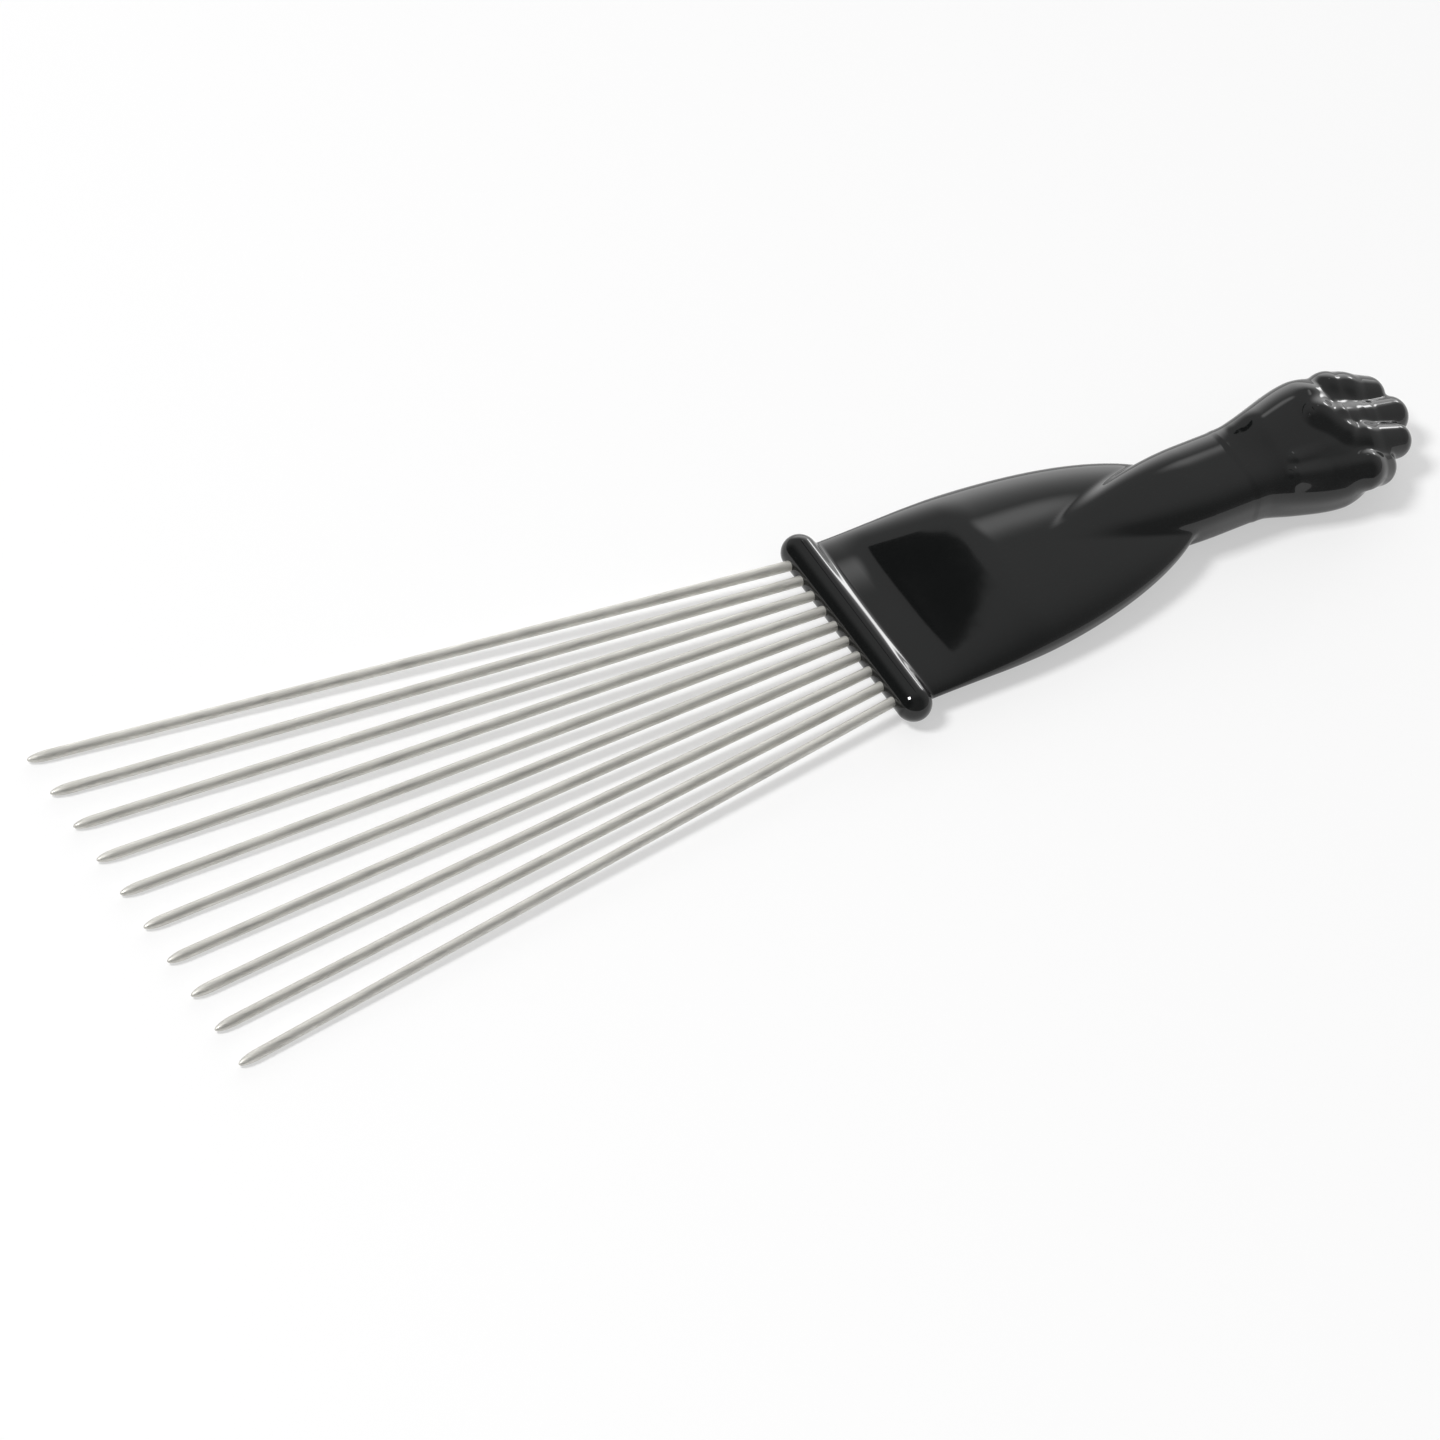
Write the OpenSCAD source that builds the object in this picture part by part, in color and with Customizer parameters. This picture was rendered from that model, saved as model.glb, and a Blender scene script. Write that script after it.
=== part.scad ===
/* [Tines] */
// Number of wire tines across the comb
tine_count = 10; // [6:1:12]
// Distance from the front of the bar to the line of the tips
tine_length = 130; // [90:1:170]
// Diameter of the tine wire
tine_d = 1.75; // [1.2:0.05:2.2]
// Spacing of the tines where they enter the bar
base_pitch = 3.43; // [3:0.01:4.2]
// Spacing of the tines at their tips
tip_pitch = 7.26; // [4:0.01:9]
// Length over which each tip draws in to its point
tip_taper = 3.5; // [2:0.1:6]
// Length of wire cast into the handle, behind the front of the bar
root_depth = 9; // [6:0.1:11]
// Width of each groove turned in the root
groove_w = 0.9; // [0.5:0.05:1.2]
// Depth of each groove turned in the root
groove_depth = 0.22; // [0.1:0.01:0.4]
// Distance from one groove to the next
groove_pitch = 2.2; // [1.6:0.1:2.6]
// Gap that the shrinking plastic leaves around a root
cast_gap = 0.02; // [0.01:0.01:0.05]

/* [Bar] */
// Diameter of the round bar that the tines stand in
bar_d = 6; // [5:0.1:8]
// Distance from the outermost tine to the domed end of the bar
bar_end = 4.65; // [4:0.05:8]
// Length by which the bar stands out past each side of the paddle
bar_overhang = 2.6; // [1:0.1:3.2]

/* [Paddle] */
// Thickness of the paddle where it meets the bar
paddle_root_t = 4.6; // [4:0.1:4.8]
// Greatest thickness of the paddle
paddle_t = 8.8; // [7:0.1:11]
// Length of the flat land between the bar and the swell
land_length = 8; // [4:0.1:10]
// Length over which the paddle swells to its greatest thickness
swell_length = 17.5; // [14:0.5:26]
// Distance from the bar at which the sides begin to draw in
straight_length = 16.5; // [8:0.5:24]
// Length of the rounded shoulders, from there to where they would close
shoulder_length = 49; // [40:0.5:56]

/* [Forearm] */
// Distance from the bar to the point where the forearm rises out of the paddle
forearm_start = 31.5; // [28:0.5:38]
// Length over which the forearm widens to the wrist
forearm_flare = 34; // [26:0.5:38]
// Width of the wrist
wrist_w = 16.2; // [12:0.1:19]
// Thickness of the wrist
wrist_t = 10.2; // [8:0.1:12]
// Rise of the wrist and hand above the plane of the tines
grip_rise = 1.1; // [0:0.1:3]

/* [Hand] */
// Distance from the bar to the middle of the hand
hand_x = 86.5; // [83:0.5:93]
// Length of the palm
palm_length = 28; // [26:0.5:32]
// Width of the palm
palm_w = 22.6; // [20:0.1:26]
// Thickness of the palm
palm_t = 12; // [10:0.1:15]
// Diameter of the middle finger at its knuckle
finger_d = 6.7; // [5.8:0.1:7.4]
// Diameter of the thumb at its knuckle
thumb_d = 6.4; // [5.6:0.1:7.2]
// Radius that softens the creases between the fingers
crease_r = 0.4; // [0.2:0.05:1]
// Radius that softens the crease between the forearm and the hand
wrist_blend = 0.5; // [0.3:0.1:2]

/* [Hidden] */
// Names of the tines, numbered from the side of the little finger to the side of the thumb
TINES = [for (i = [1 : tine_count]) str("tine_", i < 10 ? "0" : "", i)];
// The bar holds the row of tines, and the paddle stands behind the bar
bar_length = (tine_count - 1) * base_pitch + 2 * bar_end;
paddle_w = bar_length - 2 * bar_overhang;
// As many grooves as the root has room for
groove_count = floor(root_depth / groove_pitch - 0.5);
// Colours of the moulding and of the plated wire
plastic = [0.035, 0.035, 0.038];
plated_wire = [0.62, 0.61, 0.58];
// Rounding of the cross-sections, where 2 is an ellipse
paddle_squareness = 2.6;
forearm_squareness = 3.26;
palm_squareness = 3.05;
// Shape of the flare of the forearm, where 1 is straight
flare_power = 1.9;
// The paddle is thickest where the swell ends, and then falls over this length
crown_x = land_length + swell_length;
crown_fall = shoulder_length * 0.78;
// Share of a slope over which it sets in, and over which it ends
slope_soft_share = 0.12;
// Thickness of the forearm where it rises from the paddle, as a share of the wrist's
forearm_root_share = 0.6;
// Share of its flare that the forearm already has at its point
forearm_point_share = 0.06;
// Length over which the forearm fades out inside the palm
forearm_fade = palm_length * 0.4;
// Fold of the forearm into the paddle, and of the fingers into each other
paddle_blend = crease_r * 1.75;
finger_blend = crease_r * 1.86;
palm_mid = [hand_x, 0, grip_rise * 0.5];
palm_half = [palm_length, palm_w, palm_t] / 2;
// Share of the palm's length over which it rises, widens and rolls, and after which it closes
palm_rise_share = 0.24;
palm_widen_share = 0.62;
palm_roll_share = 0.29;
palm_close_share = 0.59;
// How far the palm turns over towards the little finger
palm_roll = 11.3;
// Height of the palm's middle under the knuckles, as a share of the wrist's rise
palm_level_share = 0.77;
// Joints of the fingers in the palm's half sizes: along, across, height, thickness in finger_d
finger_joint_shares = [
  [
    [0.626, 0.57, 0.508, 1.173],
    [0.817, 0.521, 0.37, 1.121],
    [1.178, 0.471, 0.025, 1.022]
  ],
  [
    [0.463, 0.041, 0.618, 0.906],
    [0.801, 0.053, 0.088, 1.2],
    [1.314, 0.07, -0.164, 1.004]
  ],
  [
    [-0.364, -0.367, 0.72, 0.483],
    [0.111, -0.319, 0.51, 0.589],
    [0.603, -0.352, 0.227, 1.193],
    [1.113, -0.394, -0.02, 0.908]
  ],
  [
    [-0.45, -0.575, 0.592, 0.597],
    [0.112, -0.662, 0.332, 0.692],
    [0.475, -0.755, 0.232, 0.986],
    [0.729, -0.669, -0.103, 0.99]
  ]
];
// Joints of the thumb from the wrist to its tip, in the same way with thumb_d
thumb_joint_shares = [
  [-0.736, 0.398, 0.442, 0.938],
  [0.296, 0.494, 0.633, 1],
  [0.233, 0.172, 0.639, 1.158],
  [0.409, -0.224, 0.59, 0.952]
];
// Rings and sides of the handle's skin
limb_rings = 27;
palm_rings = 24;
dome_rings = 14;
skin_sides = 60;
// Width against height of the fan of rays that finds the skin, at the bar and at the fist
fan_at_bar = 2.6;
fan_at_fist = 1.5;
// Each ray is halved this many times to find the skin
halvings = 14;
palm_start = hand_x - palm_half.x;
dome_x = hand_x + palm_half.x * 0.44;
ray_reach = max(bar_length, palm_length);
// Facets of the tip's curve
tip_steps = 8;
// Facets of a full turn of the wire and the bar
$fn = 64;

// Sum of a list of numbers
function sum(v) = v * [for (u = v) 1];

// Smooth step from 0 to 1
function ease(t) = let (u = max(0, min(1, t))) u * u * (3 - 2 * u);

// Distance to two surfaces at once, with a fillet of radius r where they meet
function blend(a, b, r) =
  let (h = max(0, min(1, 0.5 + 0.5 * (b - a) / r)))
  b + (a - b) * h - r * h * (1 - h);

// Distance outside an oval with the given half sizes, which has as many of them as p
function oval_gap(p, half, squareness) =
  let (
    q = [for (i = [0 : len(half) - 1]) abs(p[i]) / half[i]],
    k = pow(sum([for (u = q) pow(u, squareness)]), 1 / squareness),
    slope = norm([for (i = [0 : len(half) - 1]) pow(q[i], squareness - 1) / half[i]])
  )
  (k - 1) / max(slope * pow(max(k, 0.01), 1 - squareness), 1 / max(half));

// Distance outside a rod from a to b whose radius runs from ra to rb
function rod_gap(p, a, b, ra, rb) =
  let (ab = b - a, t = max(0, min(1, (p - a) * ab / (ab * ab))))
  norm(p - a - t * ab) - (ra + (rb - ra) * t);

// Distance outside a chain of rods through the given [point, radius] joints
function chain_gap(p, joints, r, i = 0) =
  let (here = rod_gap(p, joints[i][0], joints[i + 1][0], joints[i][1], joints[i + 1][1]))
  i == len(joints) - 2 ? here : blend(here, chain_gap(p, joints, r, i + 1), r);

// Straight rise from 0 to 1 with softened ends
function ramp(t, soft) = -blend(-blend(t, 1, soft), 0, soft);

// Height of the handle's middle above the plane of the tines
function middle_z(x) = grip_rise * ease((x - crown_x) / (forearm_start + forearm_flare - crown_x));

// Paddle: a land at the bar, a swell, and shoulders that close like half an ellipse
function paddle_gap(p) =
  let (
    closing = max(0, min(0.999, (p.x - straight_length) / shoulder_length)),
    falling = max(0, min(0.99, (p.x - crown_x) / crown_fall)),
    swell = ramp((p.x - land_length) / swell_length, slope_soft_share),
    half_w = paddle_w / 2 * sqrt(1 - closing * closing),
    half_t = (paddle_root_t + (paddle_t - paddle_root_t) * swell) / 2 * sqrt(1 - falling * falling),
    side = oval_gap([p.y, p.z - middle_z(p.x)], [half_w, half_t], paddle_squareness)
  )
  max(side, p.x - straight_length - shoulder_length);

// Forearm: a tongue that rises out of the paddle, flares to the wrist and fades inside the palm
function forearm_gap(p) =
  let (
    flare = max(forearm_point_share, min(1, (p.x - forearm_start) / forearm_flare)),
    fade = max(0, min(0.99, (p.x - palm_start) / forearm_fade)),
    growth = 1 - pow(1 - flare, flare_power),
    nose = sqrt(1 - fade * fade),
    half_w = wrist_w / 2 * growth * nose,
    half_t = wrist_t / 2 * (forearm_root_share + (1 - forearm_root_share) * growth) * nose,
    side = oval_gap([p.y, p.z - middle_z(p.x)], [half_w, half_t], forearm_squareness)
  )
  max(side, forearm_start - p.x, p.x - palm_start - forearm_fade);

// Palm: it rises from a crease at the wrist, rolls to one side and closes under the knuckles
function palm_gap(p) =
  let (
    along = (p.x - palm_start) / palm_length,
    closing = max(0, min(0.99, (along - palm_close_share) / (1 - palm_close_share))),
    cap = sqrt(1 - closing * closing),
    rising = ramp(along / palm_rise_share, slope_soft_share),
    widening = ease(along / palm_widen_share),
    turn = palm_roll * ease(along / palm_roll_share),
    level = grip_rise * (1 - (1 - palm_level_share) * widening),
    y = p.y * cos(turn) + (p.z - level) * sin(turn),
    z = (p.z - level) * cos(turn) - p.y * sin(turn),
    half_w = (wrist_w + (palm_w - wrist_w) * widening) / 2 * cap,
    half_t = (wrist_t + (palm_t - wrist_t) * rising) / 2 * cap
  )
  max(oval_gap([y, z], [half_w, half_t], palm_squareness), palm_start - p.x, p.x - palm_start - palm_length);

// A [point, radius] joint in the hand from its shares of the palm's half sizes
function hand_joint(s, d) =
  [palm_mid + [s[0] * palm_half.x, s[1] * palm_half.y, s[2] * palm_half.z], d * s[3] / 2];

finger_chains = [for (finger = finger_joint_shares) [for (s = finger) hand_joint(s, finger_d)]];
thumb_chain = [for (s = thumb_joint_shares) hand_joint(s, thumb_d)];

// The gap given, with the bent fingers from number i on laid against it one after the other
function fingers_gap(p, gap, i = 0) =
  i == len(finger_chains) ? gap
  : fingers_gap(p, blend(gap, chain_gap(p, finger_chains[i], crease_r * 2), finger_blend), i + 1);

// Closed fist with the thumb laid across the fingers
function hand_gap(p) =
  blend(fingers_gap(p, palm_gap(p)), chain_gap(p, thumb_chain, crease_r * 3), crease_r * 1.5);

// Distance outside the handle's skin behind the bar
function skin_gap(p) =
  let (limb = blend(paddle_gap(p), forearm_gap(p), paddle_blend))
  p.x < palm_start - wrist_blend ? limb : blend(limb, hand_gap(p), wrist_blend);

// Point of the skin on the ray from o along d, found by halving
function skin_point(o, d, lo = 0, hi = ray_reach, n = halvings) =
  let (mid = (lo + hi) / 2)
  n == 0 ? o + mid * d
  : skin_gap(o + mid * d) < 0 ? skin_point(o, d, mid, hi, n - 1)
  : skin_point(o, d, lo, mid, n - 1);

// Direction across the handle at a turn of the fan, level with the thumb side at 0
function fan_ray(turn, spread) =
  let (d = [0, spread * cos(turn), sin(turn)])
  d / norm(d);

// One ring of the skin around the point x, leaning forward by lean degrees
function skin_ring(x, lean) =
  let (
    spread = fan_at_bar + (fan_at_fist - fan_at_bar) * ease(x / palm_start),
    o = [x, 0, middle_z(x)]
  )
  [for (i = [0 : skin_sides - 1])
    let (across = fan_ray(360 * i / skin_sides, spread))
    skin_point(o, across * cos(lean) + [sin(lean), 0, 0])];

// Place of a tine in the fan, counted from the middle
function tine_offset(i) = i - (tine_count - 1) / 2;

function tine_angle(i) = atan(tine_offset(i) * (tip_pitch - base_pitch) / tine_length);

// Profile of a tine from its tip to the end of its root, grown by gap all round
function tine_profile(shaft, gap) =
  let (r = tine_d / 2 + gap, end = shaft + root_depth + gap)
  concat(
    [for (k = [0 : tip_steps]) let (a = 90 * k / tip_steps) [r * sin(a), tip_taper * (1 - cos(a))]],
    [for (g = [groove_count : -1 : 1]) each
      let (mid = shaft + root_depth - (g - 0.5) * groove_pitch, half = groove_w / 2 - gap)
      [[r, mid - half], [r - groove_depth, mid - half], [r - groove_depth, mid + half], [r, mid + half]]],
    [[r, end], [0, end]]
  );

// A tine in its place in the fan, or with a gap the space that it fills in the handle
module tine_body(i, gap = 0) {
  shaft = tine_length / cos(tine_angle(i));
  translate([-bar_d / 2, tine_offset(i) * base_pitch, 0])
    rotate([0, 0, -tine_angle(i)])
      rotate([0, 90, 0])
        translate([0, 0, -shaft])
          rotate_extrude()
            polygon(tine_profile(shaft, gap));
}

module tine(i) {
  color(plated_wire) tine_body(i);
}

// Round bar with domed ends
module bar() {
  dome_y = (bar_length - bar_d) / 2;
  rotate([90, 0, 0]) cylinder(d = bar_d, h = 2 * dome_y, center = true);
  for (side = [-1, 1]) translate([0, side * dome_y, 0]) sphere(d = bar_d);
}

// Paddle, forearm and fist as one closed skin of rings from the bar to the knuckles
module grip() {
  rings = concat(
    [for (i = [0 : limb_rings - 1]) skin_ring(palm_start * i / limb_rings, 0)],
    [for (i = [0 : palm_rings - 1]) skin_ring(palm_start + (dome_x - palm_start) * i / palm_rings, 0)],
    [for (i = [0 : dome_rings - 1]) skin_ring(dome_x, 90 * i / dome_rings)]
  );
  last = len(rings) - 1;
  crown = skin_point([dome_x, 0, middle_z(dome_x)], [1, 0, 0]);
  points = concat([for (ring = rings) each ring], [crown]);
  walls = [for (r = [0 : last - 1], i = [0 : skin_sides - 1])
    let (
      a = r * skin_sides + i,
      b = r * skin_sides + (i + 1) % skin_sides
    )
    each [[a, a + skin_sides, b], [b, a + skin_sides, b + skin_sides]]];
  front = [[for (i = [0 : skin_sides - 1]) i]];
  back = [for (i = [0 : skin_sides - 1])
    [last * skin_sides + (i + 1) % skin_sides, last * skin_sides + i, len(points) - 1]];
  polyhedron(points, concat(front, walls, back));
}

// One moulding: the bar and the grip, cast around the roots of the tines
module handle() {
  color(plastic)
    difference() {
      union() {
        bar();
        grip();
      }
      for (i = [0 : tine_count - 1]) tine_body(i, cast_gap);
    }
}

handle();
for (i = [0 : tine_count - 1]) tine(i);
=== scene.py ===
"""Looks of a hair pick: ten plated wire tines in a glossy black moulded handle that ends in a closed fist."""

import math

import bpy
import numpy as np
from mathutils import Matrix, Vector


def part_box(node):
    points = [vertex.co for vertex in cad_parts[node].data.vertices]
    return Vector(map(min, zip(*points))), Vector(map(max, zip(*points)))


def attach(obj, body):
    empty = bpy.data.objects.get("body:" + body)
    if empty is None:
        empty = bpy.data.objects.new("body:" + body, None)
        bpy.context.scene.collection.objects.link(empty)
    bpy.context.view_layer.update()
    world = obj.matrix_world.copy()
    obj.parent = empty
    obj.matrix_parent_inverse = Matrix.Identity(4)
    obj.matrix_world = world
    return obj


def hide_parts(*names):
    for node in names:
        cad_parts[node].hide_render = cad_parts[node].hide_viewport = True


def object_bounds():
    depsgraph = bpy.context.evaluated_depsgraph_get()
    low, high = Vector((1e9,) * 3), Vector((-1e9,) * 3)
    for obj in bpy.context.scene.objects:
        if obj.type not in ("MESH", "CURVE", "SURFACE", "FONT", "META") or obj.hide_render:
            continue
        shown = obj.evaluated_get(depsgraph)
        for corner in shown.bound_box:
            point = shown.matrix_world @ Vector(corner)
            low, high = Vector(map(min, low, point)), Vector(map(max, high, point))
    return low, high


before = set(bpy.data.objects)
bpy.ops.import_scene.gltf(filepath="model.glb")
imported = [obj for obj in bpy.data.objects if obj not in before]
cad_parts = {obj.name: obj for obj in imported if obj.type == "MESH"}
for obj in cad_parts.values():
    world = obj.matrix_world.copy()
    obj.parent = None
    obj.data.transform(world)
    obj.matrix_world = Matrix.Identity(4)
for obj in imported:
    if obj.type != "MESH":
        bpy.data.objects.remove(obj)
CAD_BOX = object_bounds()
TINE_NODES = sorted(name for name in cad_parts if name.startswith("tine_"))
MM = 0.001

bl_info = {
    "name": "Hair pick",
    "version": (1, 0, 0),
    "blender": (4, 5, 0),
    "location": "View3D > Sidebar > Hair pick",
    "description": "Builds a wire-tined hair pick with a moulded fist handle, and its studio",
    "category": "Add Mesh",
}


def length(name, description, default_mm, low_mm=0.0):
    """A length property in metres, with its default given in millimetres."""
    return bpy.props.FloatProperty(
        name=name,
        description=description,
        default=default_mm * MM,
        min=low_mm * MM,
        subtype="DISTANCE",
        unit="LENGTH",
        precision=5,
    )


def share(name, description, default):
    """A plain ratio between 0 and 1."""
    return bpy.props.FloatProperty(
        name=name, description=description, default=default, min=0.0, max=1.0, subtype="FACTOR"
    )


def brightness(name, description, default):
    """A brightness of part of the studio, in which 1 is plain white."""
    return bpy.props.FloatProperty(name=name, description=description, default=default, min=0.0)


def camera_angle(name, description, degrees):
    """An angle of the camera, with its default given in degrees."""
    return bpy.props.FloatProperty(
        name=name,
        description=description,
        default=math.radians(degrees),
        subtype="ANGLE",
        unit="ROTATION",
    )


def colour(name, description, default):
    """A surface colour."""
    return bpy.props.FloatVectorProperty(
        name=name, description=description, default=default, size=3, min=0.0, max=1.0, subtype="COLOR"
    )


class PickTineSizes(bpy.types.PropertyGroup):
    """Sizes of the fan of wire tines."""

    count: bpy.props.IntProperty(
        name="Tines", description="Number of wire tines", default=len(TINE_NODES), min=2, max=16
    )
    reach: length("Tine length", "Front of the bar to the line of the tips", 130.0)
    wire: length("Wire diameter", "Diameter of the tine wire", 1.75)
    base_pitch: length("Pitch at the bar", "Spacing of the tines where they enter the bar", 3.43)
    tip_pitch: length("Pitch at the tips", "Spacing of the tines at their tips", 7.26)
    taper: length("Tip taper", "Length over which each tip draws in to its point", 3.5)
    root: length("Root depth", "Length of wire cast into the bar", 9.0)


class PickHandleSizes(bpy.types.PropertyGroup):
    """Sizes of the one-piece handle, from the bar to the fist."""

    bar_d: length("Bar diameter", "Diameter of the round bar", 6.0)
    bar_end: length("Bar end", "Outermost tine to the domed end of the bar", 4.65)
    bar_overhang: length("Bar overhang", "Length by which the bar stands out past the paddle", 2.6)
    paddle_root_t: length("Paddle root thickness", "Thickness of the paddle where it meets the bar", 4.6)
    paddle_t: length("Paddle thickness", "Greatest thickness of the paddle", 8.8)
    land: length("Land length", "Flat land between the bar and the swell", 8.0)
    swell: length("Swell length", "Length over which the paddle swells", 17.5)
    straight: length("Straight length", "Distance from the bar at which the sides draw in", 16.5)
    shoulder: length("Shoulder length", "Length of the rounded shoulders", 49.0)
    forearm_start: length("Forearm start", "Distance from the bar to the point of the forearm", 31.5)
    forearm_flare: length("Forearm flare", "Length over which the forearm widens to the wrist", 34.0)
    wrist_w: length("Wrist width", "Width of the wrist", 16.2)
    wrist_t: length("Wrist thickness", "Thickness of the wrist", 10.2)
    rise: length("Grip rise", "Rise of the wrist and hand above the plane of the tines", 1.1)
    hand_x: length("Hand place", "Distance from the bar to the middle of the hand", 86.5)
    palm_length: length("Palm length", "Length of the palm", 28.0)
    palm_w: length("Palm width", "Width of the palm", 22.6)
    palm_t: length("Palm thickness", "Thickness of the palm", 12.0)
    finger_d: length("Finger diameter", "Diameter of the middle finger at its knuckle", 6.7)
    thumb_d: length("Thumb diameter", "Diameter of the thumb at its knuckle", 6.4)
    crease: length("Crease radius", "Radius that softens the creases between the fingers", 0.4)
    wrist_blend: length("Wrist blend", "Radius that softens the crease between the forearm and the hand", 0.5)
    bar_fillet: length("Bar fillet", "Radius of the fillet where the paddle meets the bar", 0.7)


class PickFinishes(bpy.types.PropertyGroup):
    """Colours and gloss of the plastic and the wire."""

    plastic: colour("Plastic", "Colour of the moulded handle", (0.006, 0.0065, 0.0065))
    plastic_rough: share("Plastic roughness", "Mean roughness of the moulded handle", 0.05)
    dust: colour("Dust", "Colour of the faint dust on the plastic", (0.08, 0.08, 0.075))
    wire: colour("Wire", "Colour of the plating on the tines", (0.7, 0.69, 0.65))
    wire_dull: colour("Dull wire", "Colour of the duller streaks in the plating", (0.6, 0.59, 0.555))
    wire_rough: share("Wire roughness", "Mean roughness of the plating", 0.6)


class PickStudio(bpy.types.PropertyGroup):
    """Floor, lamps and camera."""

    floor: colour("Floor", "Colour of the plain floor", (0.93, 0.93, 0.93))
    floor_white: share("Floor whiteness", "Share of plain white that the camera sees in the floor", 0.5)
    surround: share("Surround", "Brightness of the studio's walls away from the far side", 0.5)
    far_wall: brightness("Far wall", "Brightness of the wall beyond the pick", 2.4)
    strip: brightness("Strip", "Brightness of the small lamp low on the far wall", 9.0)
    soft_lamp: brightness("Soft lamp", "Brightness of the small soft lamp higher on the far wall", 1.3)
    lamp: bpy.props.FloatProperty(
        name="Lamp",
        description="Power of the soft lamp overhead",
        default=50.0,
        min=0.0,
        subtype="POWER",
        unit="POWER",
    )
    camera_azimuth: camera_angle("Camera azimuth", "Compass angle from the handle's end", 227.99)
    camera_elevation: camera_angle("Camera elevation", "Angle of the camera above the tines' plane", 49.73)
    camera_roll: camera_angle("Camera roll", "Turn of the camera about its line of sight", 13.03)
    camera_distance: length("Camera distance", "Distance from the bar to the camera", 1585.99)
    camera_lens: bpy.props.FloatProperty(
        name="Lens", description="Focal length for a 36 mm sensor", default=250.0, unit="CAMERA"
    )


def sizes(group):
    """The properties of a size group in millimetres, by name."""
    kept = {}
    for name in group.bl_rna.properties.keys():
        value = getattr(group, name, None)
        if isinstance(value, float):
            kept[name] = value / MM
        elif isinstance(value, int):
            kept[name] = value
    return kept


# Shape of the handle, as the distance outside its skin in millimetres


def ease(t):
    """Smooth step from 0 to 1."""
    u = np.clip(t, 0.0, 1.0)
    return u * u * (3.0 - 2.0 * u)


def blend(a, b, r):
    """Distance to two surfaces at once, with a fillet where they meet."""
    h = np.clip(0.5 + 0.5 * (b - a) / r, 0.0, 1.0)
    return b + (a - b) * h - r * h * (1.0 - h)


def ramp(t, soft):
    """Straight rise from 0 to 1 with softened ends."""
    return -blend(-blend(t, 1.0, soft), 0.0, soft)


def oval_gap(q, squareness):
    """Distance outside a rounded oval; q holds pairs of a coordinate and a half size."""
    scaled = [np.abs(p) / half for p, half in q]
    k = sum(s**squareness for s in scaled) ** (1.0 / squareness)
    slope = np.sqrt(sum((s ** (squareness - 1.0) / half) ** 2 for s, (_, half) in zip(scaled, q)))
    least = 1.0 / np.maximum(*(half for _, half in q))
    return (k - 1.0) / np.maximum(slope * np.maximum(k, 0.01) ** (1.0 - squareness), least)


def rod_gap(p, a, b, ra, rb):
    """Distance outside a rod from a to b whose radius runs from ra to rb."""
    ab = b - a
    t = np.clip((p - a) @ ab / (ab @ ab), 0.0, 1.0)
    return np.linalg.norm(p - a - t[:, None] * ab, axis=1) - (ra + (rb - ra) * t)


def chain_gap(p, joints, r):
    """Distance outside a chain of rods through joints of (point, radius)."""
    gap = None
    for (a, ra), (b, rb) in zip(joints, joints[1:]):
        rod = rod_gap(p, a, b, ra, rb)
        gap = rod if gap is None else blend(gap, rod, r)
    return gap


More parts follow.
